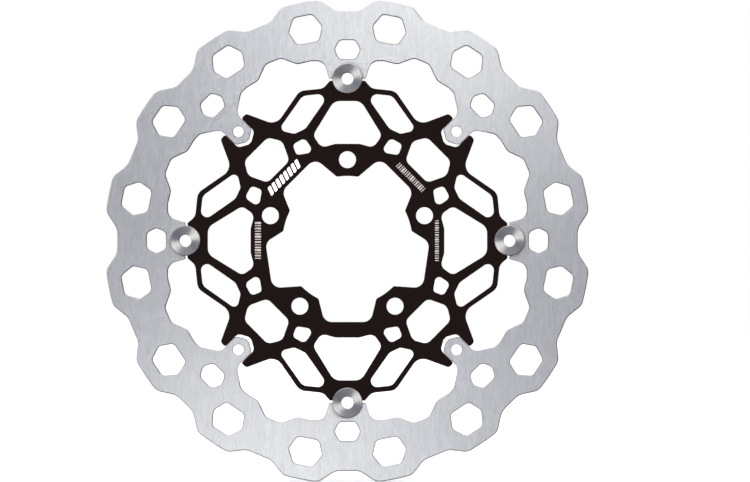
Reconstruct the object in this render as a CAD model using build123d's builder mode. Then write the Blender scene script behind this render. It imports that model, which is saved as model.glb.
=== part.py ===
"""Floating motorcycle brake disc: friction ring, carrier and four spring-loaded bobbins.

The disc stands upright. Its spin axis is Y, its front faces -Y and 12 o'clock is +Z. The origin
is the centre of the hub mounting face, at the back of the carrier. A depth is measured from that
face towards the front, so the depth d is the plane y = -d.
"""

from build123d import *
from math import atan2, cos, hypot, radians, sin
import os

os.makedirs("parts", exist_ok=True)

# Driving dimensions, in millimetres and degrees -------------------------------------------------

# Friction ring
ring_outer_r = 150.0
track_inner_r = 110.0        # the ground pad track ends here, clear of the bobbin flanges
track_thickness = 5.0
ear_relief = 0.2             # each face of the ears lies this far below the track
ring_edge_break = 0.5
large_hole_count = 16
large_hole_start = 11.25     # angle of the first large hole
small_hole_count = 8
scallop_count = 8            # of each of the two kinds, in turn round the edge

# Drive tabs of the ring, each lying between the two prongs of a carrier fork
tab_half_width = 6.95
tab_hole_circle_r = 95.2
tab_hole_r = 3.4
tab_count = 4
fork_half_gap = 7.05

# Carrier
carrier_front = 6.0          # depth of the front face
carrier_back = 1.0           # depth of the back face of the arms
hub_land_r = 58.0            # raised land round the hub, reaching depth 0
carrier_edge_break = 0.3

# Hub pattern
pilot_r = 40.0
bolt_circle_r = 50.0
bolt_hole_r = 5.25
bolt_count = 5
bolt_start = 90.0            # angle of the first bolt
hub_side = 50.2              # from the axis to each straight side of the hub opening
hub_side_angles = (45.0, 135.0, 188.3, 270.0, 351.7)
lobe_half_angle = 9.5        # half of the pilot arc that each bolt lobe carries
lobe_flank = 50.0            # angle of a lobe's flanks to its own radial line
lobe_reach = 60.0            # length of a flank, drawn well past the straight sides
lobe_corner_radius = 1.8
side_corner_radius = 6.0

# Bobbins
bobbin_circle_r = 100.0
barrel_r = 6.0
notch_clearance = 0.06       # radial running fit of the barrel in both half-round notches
flange_r = 9.3
flange_thickness = 1.6
flange_dish = 0.2
bobbin_bore_r = 3.75
bobbin_edge_break = 0.35
groove_depth = 0.25
tail_length = 0.9            # barrel left behind the clip

# Washer, wave spring and clip behind each bobbin
washer_r = 8.6
washer_thickness = 0.8
spring_inner_r = 6.3
spring_outer_r = 8.3
spring_strip = 0.35
spring_height = 1.1          # over the waves, as it sits in the stack
spring_waves = 3
spring_sections = 6          # sections that each wave is drawn through
clip_outer_r = 7.6
clip_offset = 0.25           # the clip's outer circle is moved away from its gap
clip_thickness = 1.0
clip_gap = 0.9
lug_r = 1.5
lug_spacing = 3.9
lug_centre_r = 7.7
lug_hole_r = 0.85
fit_gap = 0.02               # between a fixed piece and the shaft that it grips

# Worked out from them
track_front = carrier_back + track_thickness
notch_r = barrel_r + notch_clearance
groove_r = barrel_r - groove_depth
washer_back = washer_thickness - carrier_back        # these four are places along +Y
spring_back = washer_back + spring_height
clip_back = spring_back + clip_thickness
barrel_back = clip_back + tail_length
bobbin_angles = {"right": 0.0, "top": 90.0, "left": 180.0, "bottom": 270.0}


# Outline helpers --------------------------------------------------------------------------------

def turned(point, angle):
    """The point (x, z) turned about the axis by an angle in degrees."""
    a = radians(angle)
    return (point[0] * cos(a) - point[1] * sin(a), point[0] * sin(a) + point[1] * cos(a))


def mirrored(point, angle):
    """The point (x, z) mirrored in the radial line at an angle in degrees."""
    direction = radians(2 * angle) - atan2(point[1], point[0])
    distance = hypot(point[0], point[1])
    return (distance * cos(direction), distance * sin(direction))


def turned_corners(corners, angle):
    """Corners (x, z, radius) turned about the axis."""
    return [(*turned((x, z), angle), radius) for x, z, radius in corners]


def mirrored_corners(corners, angle):
    """Corners (x, z, radius) mirrored in a radial line, in the reverse order."""
    return [(*mirrored((x, z), angle), radius) for x, z, radius in reversed(corners)]


def eightfold(octant):
    """The whole outline whose corners from 0 to 45 degrees are given."""
    quadrant = octant + mirrored_corners(octant, 45)
    return [corner for quarter in range(4) for corner in turned_corners(quadrant, 90 * quarter)]


def both_sides(half):
    """The outline that is symmetrical about the radial line at 0, from its upper corners."""
    return half + mirrored_corners(half, 0)


def rounded_outline(corners):
    """The face whose outline has the given corners (x, z, radius)."""
    with BuildSketch() as outline:
        with BuildLine():
            points = [(x, z) for x, z, _ in corners]
            FilletPolyline(*points, radius=[radius for _, _, radius in corners], close=True)
        make_face()
    return outline.sketch


# Outlines of the friction ring ------------------------------------------------------------------

# Each is seen from the front, about the radial line at 0, as (x, z, corner radius).
large_hole = rounded_outline(both_sides([(124.35, 6.7, 3.4), (132.8, 10.5, 3.4), (141.2, 5.9, 3.4)]))
small_hole = rounded_outline(both_sides([(111.9, 5.2, 3.5), (117.9, 7.9, 3.5), (123.8, 4.9, 3.5)]))
deep_scallop = rounded_outline(both_sides([(142.0, 7.3, 10.0), (151.0, 21.1, 0.0)]))
shallow_scallop = rounded_outline(both_sides([(143.1, 8.2, 10.0), (151.0, 22.2, 0.0)]))
lobe_tip_radius = 8.0

# The inner edge, from a bobbin's radial line at 0 to a drive tab's at 45. The pocket between them
# is symmetrical about 22.5, and the tab is given about its own line.
ear_side = [(100.0, 11.3, 0.6), (110.8, 14.4, 6.3), (110.8, 22.6, 6.0)]
pocket_side = turned_corners([(112.3, -13.1, 6.0), (119.75, -5.0, 5.0)], 22.5)
tab_outline = [
    (87.3, 1.4, 2.0),
    (90.5, tab_half_width, 2.5),
    (103.7, tab_half_width, 5.5),
    (110.8, 17.9, 5.0),
    (110.8, 22.6, 6.0),
]
inner_edge = (
    ear_side + pocket_side + mirrored_corners(pocket_side, 22.5) + mirrored_corners(tab_outline, 22.5)
)
ring_opening = rounded_outline(eightfold(inner_edge))


# Outlines of the carrier ------------------------------------------------------------------------

# The outer edge, from the ear of a bobbin at 0 to the fork of a drive tab at 45
arm_side = [
    (98.65, 10.9, 0.8),
    (93.9, 14.9, 6.3),
    (92.4, 29.5, 7.0),
    (71.4, 44.0, 7.5),
]
fork_outline = [
    (85.1, 1.3, 2.5),
    (88.35, fork_half_gap, 3.3),
    (99.7, fork_half_gap, 1.4),
    (99.5, 11.2, 2.2),
]
carrier_outline = rounded_outline(eightfold(arm_side + mirrored_corners(fork_outline, 22.5)))

# The windows: a wide one behind each bobbin, a hexagonal one behind each tab, and a long slot
# and a small four-sided one on both sides of each of them
wide_window = rounded_outline(
    both_sides([(59.75, 7.5, 6.0), (57.4, 16.0, 4.7), (65.0, 21.3, 4.2), (86.2, 8.3, 6.6)])
)
hexagonal_window = rounded_outline(
    both_sides([(60.2, 9.5, 4.3), (71.8, 15.0, 5.5), (79.85, 10.2, 4.8)])
)
slot_corners = [
    (68.2, 42.7, 3.0),
    (65.9, 32.7, 3.5),
    (69.1, 25.9, 6.0),
    (91.2, 10.5, 3.75),
    (89.4, 27.7, 5.5),
]
small_corners = [(52.8, 31.4, 2.3), (59.3, 33.9, 2.6), (63.4, 26.5, 3.0), (54.6, 20.5, 2.8)]
side_windows = [
    rounded_outline(slot_corners),
    rounded_outline(small_corners),
    rounded_outline(mirrored_corners(slot_corners, 45)),
    rounded_outline(mirrored_corners(small_corners, 45)),
]

# The hub opening: straight sides, with a lobe for each bolt that comes in to the pilot circle
lobe_foot = turned((pilot_r, 0), lobe_half_angle)
lobe_step = turned((lobe_reach, 0), lobe_flank)
lobe_end = (lobe_foot[0] + lobe_step[0], lobe_foot[1] + lobe_step[1])
hub_lobe = rounded_outline(both_sides([(*lobe_foot, 0.0), (*lobe_end, 0.0)]))
side_length = 6 * hub_side
with BuildSketch() as hub_opening:
    Circle(2 * hub_side)
    for side_angle in hub_side_angles:
        with Locations(turned((2 * hub_side, 0), side_angle)):
            Rectangle(2 * hub_side, side_length, rotation=side_angle, mode=Mode.SUBTRACT)
    with PolarLocations(0, bolt_count, start_angle=bolt_start):
        add(hub_lobe, mode=Mode.SUBTRACT)
    Circle(pilot_r)
    lobe_corners = hub_opening.vertices().filter_by(lambda v: hypot(v.X, v.Y) < pilot_r + 1)
    fillet(lobe_corners, radius=lobe_corner_radius)
    side_corners = hub_opening.vertices().filter_by(lambda v: hypot(v.X, v.Y) > hub_side)
    fillet(side_corners, radius=side_corner_radius)


# Friction ring ----------------------------------------------------------------------------------

with BuildPart() as friction_ring:
    with BuildSketch(Plane.XZ.offset(carrier_back)) as ring_face:
        Circle(ring_outer_r)
        with PolarLocations(0, scallop_count):
            add(deep_scallop, mode=Mode.SUBTRACT)
        with PolarLocations(0, scallop_count, start_angle=180 / scallop_count):
            add(shallow_scallop, mode=Mode.SUBTRACT)
        tips = ring_face.vertices().filter_by(lambda v: hypot(v.X, v.Y) > ring_outer_r - 0.1)
        fillet(tips, radius=lobe_tip_radius)
        add(ring_opening, mode=Mode.SUBTRACT)
        with PolarLocations(bobbin_circle_r, len(bobbin_angles)):
            Circle(notch_r, mode=Mode.SUBTRACT)
        with PolarLocations(tab_hole_circle_r, tab_count, start_angle=45):
            Circle(tab_hole_r, mode=Mode.SUBTRACT)
        with PolarLocations(0, large_hole_count, start_angle=large_hole_start):
            add(large_hole, mode=Mode.SUBTRACT)
        with PolarLocations(0, small_hole_count):
            add(small_hole, mode=Mode.SUBTRACT)
    extrude(amount=track_thickness)
    levels = friction_ring.edges().group_by(Axis.Y)
    chamfer(levels[0] + levels[-1], length=ring_edge_break)
    # The ears and tabs are ground lower than the pad track on both faces
    with BuildSketch(Plane.XZ.offset(track_front)):
        Circle(track_inner_r)
    extrude(amount=-ear_relief, mode=Mode.SUBTRACT)
    with BuildSketch(Plane.XZ.offset(carrier_back)):
        Circle(track_inner_r)
    extrude(amount=ear_relief, mode=Mode.SUBTRACT)

friction_ring.part.label = "friction_ring"
export_step(friction_ring.part, "parts/friction_ring.step")


# Carrier ----------------------------------------------------------------------------------------

def is_land_edge(edge):
    """Whether an edge is the circle where the hub land meets the back of the arms."""
    return edge.geom_type == GeomType.CIRCLE and abs(edge.radius - hub_land_r) < 0.01


with BuildPart() as carrier:
    with BuildSketch(Plane.XZ.offset(carrier_back)):
        add(carrier_outline)
        with PolarLocations(bobbin_circle_r, len(bobbin_angles)):
            Circle(notch_r, mode=Mode.SUBTRACT)
        with PolarLocations(0, len(bobbin_angles)):
            add(wide_window, mode=Mode.SUBTRACT)
            add(side_windows, mode=Mode.SUBTRACT)
        with PolarLocations(0, tab_count, start_angle=45):
            add(hexagonal_window, mode=Mode.SUBTRACT)
    extrude(amount=carrier_front - carrier_back)
    with BuildSketch(Plane.XZ):
        Circle(hub_land_r)
    extrude(amount=carrier_back)
    with BuildSketch(Plane.XZ):
        add(hub_opening.sketch)
        with PolarLocations(bolt_circle_r, bolt_count, start_angle=bolt_start):
            Circle(bolt_hole_r)
    extrude(amount=carrier_front, mode=Mode.SUBTRACT)
    levels = carrier.edges().group_by(Axis.Y)
    arm_back = carrier.edges().filter_by_position(Axis.Y, -carrier_back - 0.01, -carrier_back + 0.01)
    open_back = arm_back.filter_by(lambda edge: not is_land_edge(edge))
    chamfer(levels[0] + levels[-1] + open_back, length=carrier_edge_break)

carrier.part.label = "carrier"
export_step(carrier.part, "parts/carrier.step")


# Bobbins and what holds each of them ------------------------------------------------------------

def bobbin_centre(place):
    """Where the bobbin's axis crosses the hub face plane."""
    x, z = turned((bobbin_circle_r, 0), bobbin_angles[place])
    return (x, 0, z)


def make_bobbin(place):
    """A hollow barrel with a dished flange in front and a groove for its clip behind."""
    rim_front = -(carrier_front + flange_thickness)
    dish_front = rim_front + flange_dish
    edge = bobbin_edge_break
    profile = [
        (bobbin_bore_r, dish_front + edge),
        (bobbin_bore_r + edge, dish_front),
        (flange_r - edge, rim_front),
        (flange_r, rim_front + edge),
        (flange_r, -carrier_front),
        (barrel_r, -carrier_front),
        (barrel_r, spring_back),
        (groove_r, spring_back),
        (groove_r, clip_back),
        (barrel_r, clip_back),
        (barrel_r, barrel_back - edge),
        (barrel_r - edge, barrel_back),
        (bobbin_bore_r + edge, barrel_back),
        (bobbin_bore_r, barrel_back - edge),
    ]
    centre = bobbin_centre(place)
    with BuildPart() as bobbin:
        with BuildSketch(Plane(origin=centre, x_dir=(1, 0, 0), z_dir=(0, 0, 1))):
            with BuildLine():
                Polyline(*profile, close=True)
            make_face()
        revolve(axis=Axis(centre, (0, 1, 0)))
    bobbin.part.label = f"bobbin_{place}"
    export_step(bobbin.part, f"parts/bobbin_{place}.step")


def make_washer(place):
    """The flat washer against the back of the ring's ear and the carrier's ear."""
    with BuildPart() as washer:
        with BuildSketch(Plane.XZ.offset(-washer_back)):
            with Locations(turned((bobbin_circle_r, 0), bobbin_angles[place])):
                Circle(washer_r)
                Circle(notch_r, mode=Mode.SUBTRACT)
        extrude(amount=washer_thickness)
    washer.part.label = f"washer_{place}"
    export_step(washer.part, f"parts/washer_{place}.step")


def make_wave_spring(place):
    """A ring of flat strip with three waves, pressed between the washer and the clip."""
    x, _, z = bobbin_centre(place)
    middle = (washer_back + spring_back) / 2
    wave_height = (spring_height - spring_strip) / 2 - fit_gap
    strip_width = spring_outer_r - spring_inner_r
    mean_r = (spring_outer_r + spring_inner_r) / 2
    with BuildPart() as wave_spring:
        for wave in range(spring_waves):
            # From one crest to the next
            for section in range(spring_sections + 1):
                turn = radians(360 * (wave + section / spring_sections) / spring_waves)
                height = middle + wave_height * cos(spring_waves * turn)
                section_plane = Plane(
                    origin=(x + mean_r * cos(turn), height, z + mean_r * sin(turn)),
                    x_dir=(cos(turn), 0, sin(turn)),
                    z_dir=(-sin(turn), 0, cos(turn)),
                )
                with BuildSketch(section_plane):
                    Rectangle(strip_width, spring_strip)
            loft()
    wave_spring.part.label = f"wave_spring_{place}"
    export_step(wave_spring.part, f"parts/wave_spring_{place}.step")


def make_circlip(place):
    """The external retaining ring in the barrel's groove, its two lugs turned away from the hub."""
    x, _, z = bobbin_centre(place)
    outward = turned((1, 0), bobbin_angles[place])
    back_plane = Plane(
        origin=(x, clip_back, z),
        x_dir=(outward[0], 0, outward[1]),
        z_dir=(0, -1, 0),
    )
    with BuildPart() as circlip:
        with BuildSketch(back_plane):
            with Locations((-clip_offset, 0)):
                Circle(clip_outer_r)
            with Locations((lug_centre_r, lug_spacing / 2), (lug_centre_r, -lug_spacing / 2)):
                Circle(lug_r)
            with Locations((lug_centre_r, 0)):
                Rectangle(lug_centre_r, clip_gap, mode=Mode.SUBTRACT)
            Circle(groove_r + fit_gap, mode=Mode.SUBTRACT)
            with Locations((lug_centre_r, lug_spacing / 2), (lug_centre_r, -lug_spacing / 2)):
                Circle(lug_hole_r, mode=Mode.SUBTRACT)
        extrude(amount=clip_thickness)
    circlip.part.label = f"circlip_{place}"
    export_step(circlip.part, f"parts/circlip_{place}.step")


for place in bobbin_angles:
    make_bobbin(place)
    make_washer(place)
    make_wave_spring(place)
    make_circlip(place)
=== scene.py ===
"""A floating brake disc, seen square from the front on a plain white ground.

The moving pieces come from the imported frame. This script gives each of them its material, adds the
plain marks on the carrier, and sets up the floor, the lights and the camera. Lengths are in metres in
the row frame: the spin axis is Y, the front faces -Y and +Z is up.
"""

from math import cos, radians, sin, tan

import bmesh
import bpy
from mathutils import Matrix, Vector


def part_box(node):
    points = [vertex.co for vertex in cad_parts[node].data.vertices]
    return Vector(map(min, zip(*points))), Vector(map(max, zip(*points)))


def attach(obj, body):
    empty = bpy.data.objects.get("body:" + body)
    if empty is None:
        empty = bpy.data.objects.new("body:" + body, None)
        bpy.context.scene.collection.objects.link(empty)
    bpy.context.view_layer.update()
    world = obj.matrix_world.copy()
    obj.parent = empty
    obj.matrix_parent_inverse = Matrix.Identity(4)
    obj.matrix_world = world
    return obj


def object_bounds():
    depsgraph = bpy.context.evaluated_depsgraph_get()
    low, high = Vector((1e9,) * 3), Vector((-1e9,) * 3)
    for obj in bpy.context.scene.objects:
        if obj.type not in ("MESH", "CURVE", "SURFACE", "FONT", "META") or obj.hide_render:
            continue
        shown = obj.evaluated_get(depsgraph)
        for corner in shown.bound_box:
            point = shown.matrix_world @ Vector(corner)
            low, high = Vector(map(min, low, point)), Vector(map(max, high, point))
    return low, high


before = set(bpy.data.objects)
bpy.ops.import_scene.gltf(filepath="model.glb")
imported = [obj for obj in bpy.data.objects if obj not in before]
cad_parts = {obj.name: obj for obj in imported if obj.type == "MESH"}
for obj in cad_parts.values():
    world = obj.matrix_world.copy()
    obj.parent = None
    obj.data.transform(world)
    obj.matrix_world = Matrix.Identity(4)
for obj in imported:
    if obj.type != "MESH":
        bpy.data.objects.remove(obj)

cad_low, cad_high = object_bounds()
ring_low, ring_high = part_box("friction_ring")
carrier_low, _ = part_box("carrier")

PLACES = ("right", "top", "left", "bottom")
MM = 0.001

# The camera, far off behind a long lens
LENS = 300.0                 # mm, on the usual 36 mm sensor
SENSOR = 36.0
VIEW_WIDTH = 0.4626          # what the picture takes in at the ring's front face
CAMERA_RIGHT = 0.0170        # the camera stands this far right of the spin axis
CAMERA_DOWN = 0.0002

# The ring's grinding marks
RING_GRAIN_TURN = 43.0       # degrees between them and a circle round the spin axis
RING_WANDER_INNER = 98.0     # degrees that single marks lie off that, either way, at the ears
RING_WANDER_OUTER = 66.0     # and at the outer edge
RING_EARS_R = 0.100          # from the spin axis to the middle of the ears

# Noise scales, as features in a metre. A stretch under 1 draws the features out along that axis
HAIR_SCALE = 40000.0
HAIR_STRETCH = (1.0, 1.0, 0.01)
FINE_SCALE = 2200.0
FINE_STRETCH = (1.0, 1.0, 0.11)
BROAD_SCALE = 600.0
BROAD_STRETCH = (1.0, 1.0, 0.14)
CUT_SCALE = 1500.0
CUT_STRETCH = (1.0, 0.04, 1.0)
EVEN = (1.0, 1.0, 1.0)
ANODISED_SCALE = 1800.0
ANODISED_CLOUD_SCALE = 25.0
TURNING_SCALE = 1900.0
INK_SCALE = 2600.0
INK_WEAR_SCALE = 700.0
NOISE_RANGE = (0.3, 0.7)

# Dark and light tones that the noise mixes
RING_FACE = ((0.472, 0.480, 0.491, 1.0), (0.662, 0.673, 0.688, 1.0))
RING_WALL = ((0.44, 0.44, 0.45, 1.0), (0.56, 0.56, 0.57, 1.0))
ANODISED_FACE = ((0.0020, 0.0006, 0.0004, 1.0), (0.0036, 0.0014, 0.0011, 1.0))
# Painted shade: the carrier's walls and broken edges are coloured near black, darker than its face
ANODISED_EDGE_PAINTED_SHADE = (0.0003, 0.0002, 0.0002, 1.0)
ANODISED_SHEEN = (1.0, 0.76, 0.68, 1.0)
TURNED = ((0.305, 0.300, 0.285, 1.0), (0.51, 0.503, 0.482, 1.0))
WASHER = ((0.45, 0.45, 0.45, 1.0), (0.6, 0.6, 0.6, 1.0))
SPRING = ((0.30, 0.29, 0.27, 1.0), (0.42, 0.41, 0.39, 1.0))
CLIP = ((0.03, 0.03, 0.03, 1.0), (0.08, 0.08, 0.08, 1.0))
WHITE_INK = ((0.55, 0.53, 0.52, 1.0), (0.92, 0.91, 0.90, 1.0))
GREY_BURN = ((0.16, 0.14, 0.13, 1.0), (0.42, 0.39, 0.38, 1.0))
FLOOR_PAINT = (0.9, 0.9, 0.9, 1.0)

RING_ROUGHNESS = (0.57, 0.63)
RING_EDGE_POLISH = 0.3       # how much less rough the ring's walls and edges are than its faces
ANODISED_ROUGHNESS = (0.40, 0.50)
TURNED_ROUGHNESS = (0.31, 0.38)
METAL_BUMP = 0.02 * MM       # height of the grain on the metals
INK_BUMP = 0.01 * MM

# Marks on the carrier's front, in millimetres and degrees, each in the middle of a bar round the hub
MARK_CIRCLE_R = 55.2         # from the spin axis to the middle of each mark
MARK_THICKNESS = 0.03        # of the ink that stands proud of the face
MARK_SUNK = 0.01             # and of what is keyed into it
CODE_WIDTHS = (0.35, 0.6, 0.35, 0.8, 0.5)       # of the thin bars in turn, as shares of their pitch
BOLD_WIDTHS = (0.7,)

# Floor and light, in metres, degrees and watts
FLOOR_WIDTH = 12.0
LAMP_DISTANCE = 4.0          # from the disc's centre to each soft box
LAMP_SIZE = 2.4
KEY_OFF_AXIS = 42.0          # between the front soft boxes and the spin axis
KEY_POWER = 100.0
KEY_COLOUR = (1.0, 0.982, 0.925)
BACK_OFF_AXIS = 138.0        # and between those behind the disc and the axis
BACK_POWER = 52.0
SKY_TOWARDS = (0.0, -0.3, 1.0)
SKY_SPREAD = 90.0
SKY_STRENGTH = 1.8
BRIGHT_SIDE = (-0.55, 0.0, 0.83)
SURROUNDINGS = (             # from the side away from BRIGHT_SIDE, at 0, to the side towards it, at 1
    (0.0, (0.02, 0.02, 0.025, 1.0)),
    (0.28, (0.06, 0.06, 0.07, 1.0)),
    (0.42, (0.31, 0.325, 0.46, 1.0)),
    (0.60, (0.345, 0.36, 0.50, 1.0)),
    (0.78, (0.9, 0.9, 0.92, 1.0)),
    (1.0, (1.1, 1.1, 1.1, 1.0)),
)


# Node helpers -----------------------------------------------------------------------------------

class Material:
    """A node material, with one call for each node that is added and linked."""

    def __init__(self, name):
        self.block = bpy.data.materials.new(name)
        self.block.use_nodes = True
        self.tree = self.block.node_tree
        self.surface = self.tree.nodes["Principled BSDF"]

    def add(self, kind, inputs=(), **settings):
        """A new node. Its inputs are given by name or number, as values or other nodes' outputs."""
        node = self.tree.nodes.new(kind)
        for name, value in settings.items():
            setattr(node, name, value)
        for socket, value in dict(inputs).items():
            self.put(node.inputs[socket], value)
        return node

    def put(self, socket, value):
        """Links an output to the socket, or sets the socket's own value."""
        if isinstance(value, bpy.types.NodeSocket):
            self.tree.links.new(value, socket)
        else:
            socket.default_value = value

    def set(self, **inputs):
        """Inputs of the surface shader, with underscores for the spaces in their names."""
        for name, value in inputs.items():
            self.put(self.surface.inputs[name.replace("_", " ")], value)

    def math(self, operation, a, b=0.0):
        return self.add("ShaderNodeMath", {0: a, 1: b}, operation=operation).outputs[0]

    def vector(self, operation, a, b=(0.0, 0.0, 0.0)):
        node = self.add("ShaderNodeVectorMath", {0: a, 1: b}, operation=operation)
        return node.outputs["Value" if operation in ("LENGTH", "DOT_PRODUCT") else "Vector"]

    def place(self):
        """The point on the surface, in the row frame."""
        return self.add("ShaderNodeTexCoord").outputs["Object"]

    def noise(self, point, stretch, scale, detail=4.0, roughness=0.6):
        """Noise from 0 to 1, drawn out along an axis where its stretch is under 1."""
        drawn = self.vector("MULTIPLY", point, stretch)
        settings = {"Vector": drawn, "Scale": scale, "Detail": detail, "Roughness": roughness}
        return self.add("ShaderNodeTexNoise", settings).outputs["Fac"]

    def spread(self, value, low, high, new_low=0.0, new_high=1.0):
        """The value moved from one range to another, and held inside it."""
        ranges = {"From Min": low, "From Max": high, "To Min": new_low, "To Max": new_high}
        return self.add("ShaderNodeMapRange", {"Value": value, **ranges}).outputs["Result"]

    def vary(self, noise, low=0.0, high=1.0):
        """A value from low to high that follows a noise over the range where most of it lies."""
        return self.spread(noise, *NOISE_RANGE, low, high)

    def mix(self, factor, a, b):
        """A colour between two colours."""
        node = self.add("ShaderNodeMix", data_type="RGBA")
        self.put(node.inputs["Factor"], factor)
        self.put(node.inputs[6], a)
        self.put(node.inputs[7], b)
        return node.outputs[2]

    def blend(self, factor, a, b):
        """A vector between two vectors."""
        node = self.add("ShaderNodeMix", data_type="VECTOR")
        self.put(node.inputs["Factor"], factor)
        self.put(node.inputs[4], a)
        self.put(node.inputs[5], b)
        return node.outputs[1]

    def bump(self, height, distance, strength):
        """Surface normals bent by a height, which is multiplied by a distance in metres."""
        settings = {"Height": height, "Distance": distance, "Strength": strength}
        return self.add("ShaderNodeBump", settings).outputs["Normal"]

    def facing_front(self):
        """1 on faces square to the spin axis, 0 on walls and broken edges."""
        normal = self.add("ShaderNodeNewGeometry").outputs["Normal"]
        along = self.math("ABSOLUTE", self.vector("DOT_PRODUCT", normal, (0.0, 1.0, 0.0)))
        return self.spread(along, 0.75, 0.9)

    def along_edge(self):
        """The direction in which a wall or a broken edge runs round the outline."""
        normal = self.add("ShaderNodeNewGeometry").outputs["Normal"]
        return self.vector("CROSS_PRODUCT", normal, (0.0, 1.0, 0.0))

    def across_circle(self, point, centre, turn=0.0):
        """The direction from a centre outwards, turned about the spin axis by an angle in radians."""
        outward = self.vector("MULTIPLY", self.vector("SUBTRACT", point, centre), (1.0, 0.0, 1.0))
        settings = {"Vector": outward, "Axis": (0.0, 1.0, 0.0), "Angle": turn}
        turned = self.add("ShaderNodeVectorRotate", settings, rotation_type="AXIS_ANGLE").outputs["Vector"]
        in_world = self.add("ShaderNodeVectorTransform", {"Vector": turned}, vector_type="VECTOR",
                            convert_from="OBJECT", convert_to="WORLD").outputs["Vector"]
        return self.vector("NORMALIZE", in_world)


# Materials --------------------------------------------------------------------------------------

def ring_steel():
    """Ground brake steel: short upright streaks on the faces, cut walls along the edges.

    Each fine streak lies a little off the grinding direction, more so near the hub, and that spreads
    the highlights on the ears and tabs.
    """
    steel = Material("ring_steel")
    point = steel.place()
    radius = steel.vector("LENGTH", steel.vector("MULTIPLY", point, (1.0, 0.0, 1.0)))
    hair = steel.noise(point, HAIR_STRETCH, HAIR_SCALE, detail=2.0)
    fine = steel.noise(point, FINE_STRETCH, FINE_SCALE, detail=3.0)
    broad = steel.noise(point, BROAD_STRETCH, BROAD_SCALE, detail=4.0)
    streaks = steel.math("ADD", steel.math("MULTIPLY", fine, 0.6), steel.math("MULTIPLY", broad, 0.4))
    shade = steel.vary(streaks)
    face = steel.mix(shade, *RING_FACE)
    cut = steel.noise(point, CUT_STRETCH, CUT_SCALE, detail=3.0)
    wall = steel.mix(cut, *RING_WALL)
    front = steel.facing_front()
    most = radians(RING_WANDER_INNER)
    least = radians(RING_WANDER_OUTER)
    wander = steel.spread(radius, RING_EARS_R, ring_high.x, most, least)
    stray = steel.math("ADD", steel.math("MULTIPLY", hair, 0.93), steel.math("MULTIPLY", fine, 0.07))
    swing = steel.math("MULTIPLY", steel.vary(stray, -1.0, 1.0), wander)
    grain_turn = steel.math("ADD", swing, radians(RING_GRAIN_TURN))
    grain = steel.across_circle(point, (0.0, 0.0, 0.0), grain_turn)
    ground = steel.spread(shade, 0.0, 1.0, *RING_ROUGHNESS)
    cut_more = steel.spread(front, 0.0, 1.0, -RING_EDGE_POLISH, 0.0)
    steel.set(
        Base_Color=steel.mix(front, wall, face),
        Metallic=1.0,
        Roughness=steel.math("ADD", ground, cut_more),
        Anisotropic=0.8,
        Tangent=steel.blend(front, steel.along_edge(), grain),
        Normal=steel.bump(steel.math("MULTIPLY", streaks, front), METAL_BUMP, 0.4),
    )
    return steel.block


def black_anodised():
    """Satin black hard anodising, a little warm, with the faint grain of the metal under it."""
    black = Material("black_anodised")
    point = black.place()
    grain = black.noise(point, EVEN, ANODISED_SCALE, detail=3.0)
    cloud = black.noise(point, EVEN, ANODISED_CLOUD_SCALE, detail=3.0)
    tone = black.spread(black.math("ADD", black.math("MULTIPLY", grain, 0.5), cloud), 0.4, 1.1)
    face = black.mix(tone, *ANODISED_FACE)
    black.set(
        # Painted shade: walls and broken edges take the near-black edge colour in place of the face colour
        Base_Color=black.mix(black.facing_front(), ANODISED_EDGE_PAINTED_SHADE, face),
        Roughness=black.vary(grain, *ANODISED_ROUGHNESS),
        Specular_IOR_Level=0.12,
        Specular_Tint=ANODISED_SHEEN,
        Normal=black.bump(grain, METAL_BUMP, 0.3),
    )
    return black.block


def turned_aluminium(place, centre):
    """Grey aluminium with fine turning marks round the bobbin's own axis."""
    turned = Material(f"bobbin_aluminium_{place}")
    point = turned.place()
    offset = turned.vector("MULTIPLY", turned.vector("SUBTRACT", point, centre), (1.0, 0.0, 1.0))
    radius = turned.vector("LENGTH", offset)
    rings = turned.add("ShaderNodeTexNoise", {"W": radius, "Scale": TURNING_SCALE, "Detail": 4.0},
                       noise_dimensions="1D").outputs["Fac"]
    tone = turned.vary(rings)
    turned.set(
        Base_Color=turned.mix(tone, *TURNED),
        Metallic=1.0,
        Roughness=turned.spread(tone, 0.0, 1.0, *TURNED_ROUGHNESS),
        Anisotropic=0.87,
        Tangent=turned.across_circle(point, centre),
        Normal=turned.bump(rings, METAL_BUMP, 0.4),
    )
    return turned.block


def plain_steel(name, tones, roughness, grain_scale):
    """Small steel parts: a fine grain, with the roughness and tone varying a little."""
    steel = Material(name)
    point = steel.place()
    grain = steel.noise(point, EVEN, grain_scale, detail=4.0)
    steel.set(
        Base_Color=steel.mix(steel.vary(grain), *tones),
        Metallic=1.0,
        Roughness=steel.vary(grain, roughness - 0.06, roughness + 0.06),
        Normal=steel.bump(grain, METAL_BUMP, 0.4),
    )
    return steel.block


def give(node, material):
    """The CAD node shows one material all over."""
    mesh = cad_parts[node].data
    mesh.materials.clear()
    mesh.materials.append(material)


def centre_of(node):
    low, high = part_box(node)
    return (low + high) / 2


give("friction_ring", ring_steel())
give("carrier", black_anodised())
washer_steel = plain_steel("washer_steel", WASHER, roughness=0.35, grain_scale=900.0)
spring_steel = plain_steel("spring_steel", SPRING, roughness=0.3, grain_scale=1400.0)
clip_steel = plain_steel("clip_steel", CLIP, roughness=0.5, grain_scale=1400.0)
for place in PLACES:
    centre = centre_of(f"bobbin_{place}")
    give(f"bobbin_{place}", turned_aluminium(place, tuple(centre)))
    give(f"washer_{place}", washer_steel)
    give(f"wave_spring_{place}", spring_steel)
    give(f"circlip_{place}", clip_steel)


# Marks on the carrier ---------------------------------------------------------------------------

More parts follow.
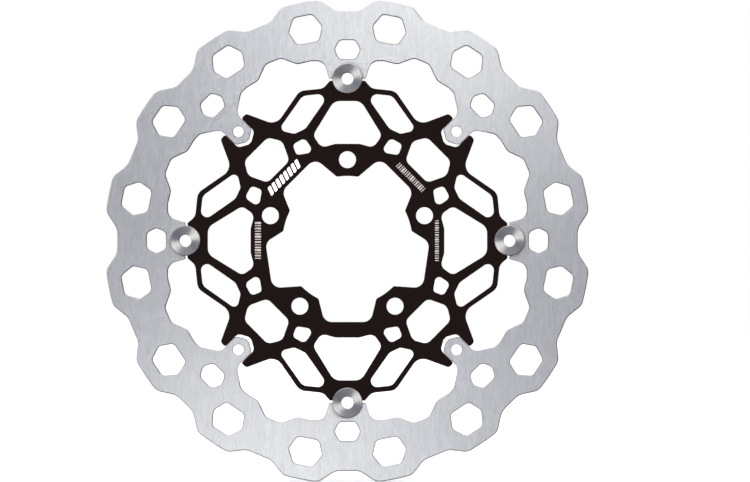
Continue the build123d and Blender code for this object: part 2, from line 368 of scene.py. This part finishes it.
def ink(name, tones, roughness):
    """Printed or burned marks: matt, a little uneven, and worn thin in places."""
    print_ink = Material(name)
    point = print_ink.place()
    grain = print_ink.noise(point, EVEN, INK_SCALE, detail=4.0)
    worn = print_ink.spread(print_ink.noise(point, EVEN, INK_WEAR_SCALE, detail=3.0), 0.3, 0.5)
    tone = print_ink.math("MULTIPLY", print_ink.spread(grain, 0.25, 0.6), worn)
    print_ink.set(
        Base_Color=print_ink.mix(tone, *tones),
        Roughness=print_ink.vary(grain, roughness - 0.1, roughness + 0.1),
        Specular_IOR_Level=0.3,
        Normal=print_ink.bump(grain, INK_BUMP, 0.4),
    )
    return print_ink.block


def bar_row(length, height, widths, count, slant=0.0):
    """The outlines of a row of bars, whose widths take turns and are shares of the pitch.

    The bars lean by an angle in degrees, and the row is centred on its own origin.
    """
    lean = height / 2 * tan(radians(slant))
    pitch = length / count
    bars = []
    for bar in range(count):
        middle = (bar + 0.5) * pitch - length / 2
        half = pitch * widths[bar % len(widths)] / 2
        foot = [(middle - half - lean, -height / 2), (middle + half - lean, -height / 2)]
        head = [(middle + half + lean, height / 2), (middle - half + lean, height / 2)]
        bars.append(foot + head)
    return bars


def make_mark(name, strokes, material, rounding, clock, reading):
    """Thin closed strokes on the carrier's front face.

    The mark lies at an angle round the spin axis, and reads along a direction, both in degrees.
    Strokes are outlines of (along, up) in millimetres.
    """
    shape = bmesh.new()
    for outline in strokes:
        shape.faces.new([shape.verts.new((along, MARK_SUNK, up)) for along, up in outline])
    bmesh.ops.bevel(shape, geom=shape.verts[:], offset=rounding, segments=3, affect="VERTICES")
    front = bmesh.ops.extrude_face_region(shape, geom=shape.faces[:])["geom"]
    moved = [part for part in front if isinstance(part, bmesh.types.BMVert)]
    bmesh.ops.translate(shape, verts=moved, vec=(0.0, -MARK_SUNK - MARK_THICKNESS, 0.0))
    bmesh.ops.recalc_face_normals(shape, faces=shape.faces[:])
    bmesh.ops.scale(shape, verts=shape.verts[:], vec=(MM, MM, MM))
    mesh = bpy.data.meshes.new(name)
    shape.to_mesh(mesh)
    shape.free()
    mesh.materials.append(material)
    mark = bpy.data.objects.new(name, mesh)
    bpy.context.scene.collection.objects.link(mark)
    distance = MARK_CIRCLE_R * MM
    mark.location = (distance * cos(radians(clock)), carrier_low.y, distance * sin(radians(clock)))
    mark.rotation_euler = (0.0, -radians(reading), 0.0)
    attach(mark, "carrier")


white_ink = ink("white_ink", WHITE_INK, roughness=0.6)
grey_burn = ink("grey_burn", GREY_BURN, roughness=0.7)
bold_bars = bar_row(length=26.5, height=5.2, widths=BOLD_WIDTHS, count=8, slant=20.0)
code_bars = bar_row(length=23.4, height=3.6, widths=CODE_WIDTHS, count=16)
tall_bars = bar_row(length=23.4, height=3.8, widths=CODE_WIDTHS, count=14)
low_bars = bar_row(length=26.0, height=2.4, widths=CODE_WIDTHS, count=18)
make_mark("mark_upper_left", bold_bars, white_ink, rounding=0.35, clock=135.0, reading=45.0)
make_mark("mark_upper_right", code_bars, grey_burn, rounding=0.12, clock=45.0, reading=-45.0)
make_mark("mark_left", tall_bars, grey_burn, rounding=0.12, clock=180.0, reading=90.0)
make_mark("mark_right", low_bars, grey_burn, rounding=0.1, clock=0.0, reading=-90.0)


# Floor and light --------------------------------------------------------------------------------

def make_floor():
    """A plain pale floor that the lowest scallops just touch."""
    half = FLOOR_WIDTH / 2
    mesh = bpy.data.meshes.new("floor")
    corners = [(-half, -half), (half, -half), (half, half), (-half, half)]
    mesh.from_pydata([(x, y, cad_low.z) for x, y in corners], [], [(0, 1, 2, 3)])
    floor = bpy.data.objects.new("floor", mesh)
    bpy.context.scene.collection.objects.link(floor)
    paint = Material("floor_paint")
    paint.set(Base_Color=FLOOR_PAINT, Roughness=0.9, Specular_IOR_Level=0.1)
    mesh.materials.append(paint.block)
    # The metal reflects the soft surroundings rather than the floor, and light reaches it from below
    floor.visible_glossy = False
    floor.visible_shadow = False


def make_light(name, spot, power, colour=(1.0, 1.0, 1.0)):
    """A square soft box that faces the disc's centre."""
    light = bpy.data.lights.new(name, "AREA")
    light.size = LAMP_SIZE
    light.energy = power
    light.color = colour
    lamp = bpy.data.objects.new(name, light)
    bpy.context.scene.collection.objects.link(lamp)
    lamp.location = spot
    lamp.rotation_euler = (-Vector(spot)).to_track_quat("-Z", "Y").to_euler()
    lamp.visible_camera = False


def make_sun(name, towards, spread, strength):
    """Soft light from a wide patch of sky."""
    light = bpy.data.lights.new(name, "SUN")
    light.angle = radians(spread)
    light.energy = strength
    lamp = bpy.data.objects.new(name, light)
    bpy.context.scene.collection.objects.link(lamp)
    lamp.rotation_euler = Vector(towards).to_track_quat("Z", "Y").to_euler()


def make_surroundings():
    """A studio that is bright above and to the left, dim the other way, and white where it is seen."""
    world = bpy.data.worlds.new("studio")
    bpy.context.scene.world = world
    world.use_nodes = True
    tree = world.node_tree
    nodes = tree.nodes
    link = tree.links.new
    direction = nodes.new("ShaderNodeTexCoord").outputs["Generated"]
    towards = nodes.new("ShaderNodeVectorMath")
    towards.operation = "DOT_PRODUCT"
    towards.inputs[1].default_value = Vector(BRIGHT_SIDE).normalized()
    link(direction, towards.inputs[0])
    ramp = nodes.new("ShaderNodeValToRGB")
    while len(ramp.color_ramp.elements) < len(SURROUNDINGS):
        ramp.color_ramp.elements.new(0.5)
    for element, (position, colour) in zip(ramp.color_ramp.elements, SURROUNDINGS):
        element.position = position
        element.color = colour
    half_up = nodes.new("ShaderNodeMapRange")
    half_up.inputs["From Min"].default_value = -1.0
    link(towards.outputs["Value"], half_up.inputs["Value"])
    link(half_up.outputs["Result"], ramp.inputs["Fac"])
    background = nodes["Background"]
    link(ramp.outputs["Color"], background.inputs["Color"])
    white = nodes.new("ShaderNodeBackground")
    white.inputs["Color"].default_value = (1.0, 1.0, 1.0, 1.0)
    seen = nodes.new("ShaderNodeLightPath").outputs["Is Camera Ray"]
    choose = nodes.new("ShaderNodeMixShader")
    link(seen, choose.inputs["Fac"])
    link(background.outputs["Background"], choose.inputs[1])
    link(white.outputs["Background"], choose.inputs[2])
    link(choose.outputs["Shader"], nodes["World Output"].inputs["Surface"])


def lamp_spot(clock, off_axis):
    """A point at LAMP_DISTANCE, by its angle round the spin axis and its angle off the axis."""
    turn = radians(clock)
    off = radians(off_axis)
    side = LAMP_DISTANCE * sin(off)
    return (side * cos(turn), -LAMP_DISTANCE * cos(off), side * sin(turn))


make_floor()
make_surroundings()
make_light("key", lamp_spot(30.0, KEY_OFF_AXIS), KEY_POWER, KEY_COLOUR)
make_light("low_key", lamp_spot(210.0, KEY_OFF_AXIS), KEY_POWER, KEY_COLOUR)
make_light("back_key", lamp_spot(150.0, BACK_OFF_AXIS), BACK_POWER)
make_light("back_low_key", lamp_spot(330.0, BACK_OFF_AXIS), BACK_POWER)
make_sun("overhead", SKY_TOWARDS, SKY_SPREAD, SKY_STRENGTH)


# Camera -----------------------------------------------------------------------------------------

def make_camera():
    """Square to the disc's front, far enough off that the picture takes in VIEW_WIDTH."""
    camera = bpy.data.cameras.new("camera")
    camera.lens = LENS
    camera.sensor_width = SENSOR
    holder = bpy.data.objects.new("camera", camera)
    bpy.context.scene.collection.objects.link(holder)
    distance = VIEW_WIDTH * LENS / SENSOR
    holder.location = (CAMERA_RIGHT, ring_low.y - distance, -CAMERA_DOWN)
    holder.rotation_euler = (radians(90), 0.0, 0.0)
    bpy.context.scene.camera = holder


make_camera()
bpy.context.scene.view_settings.view_transform = "Standard"
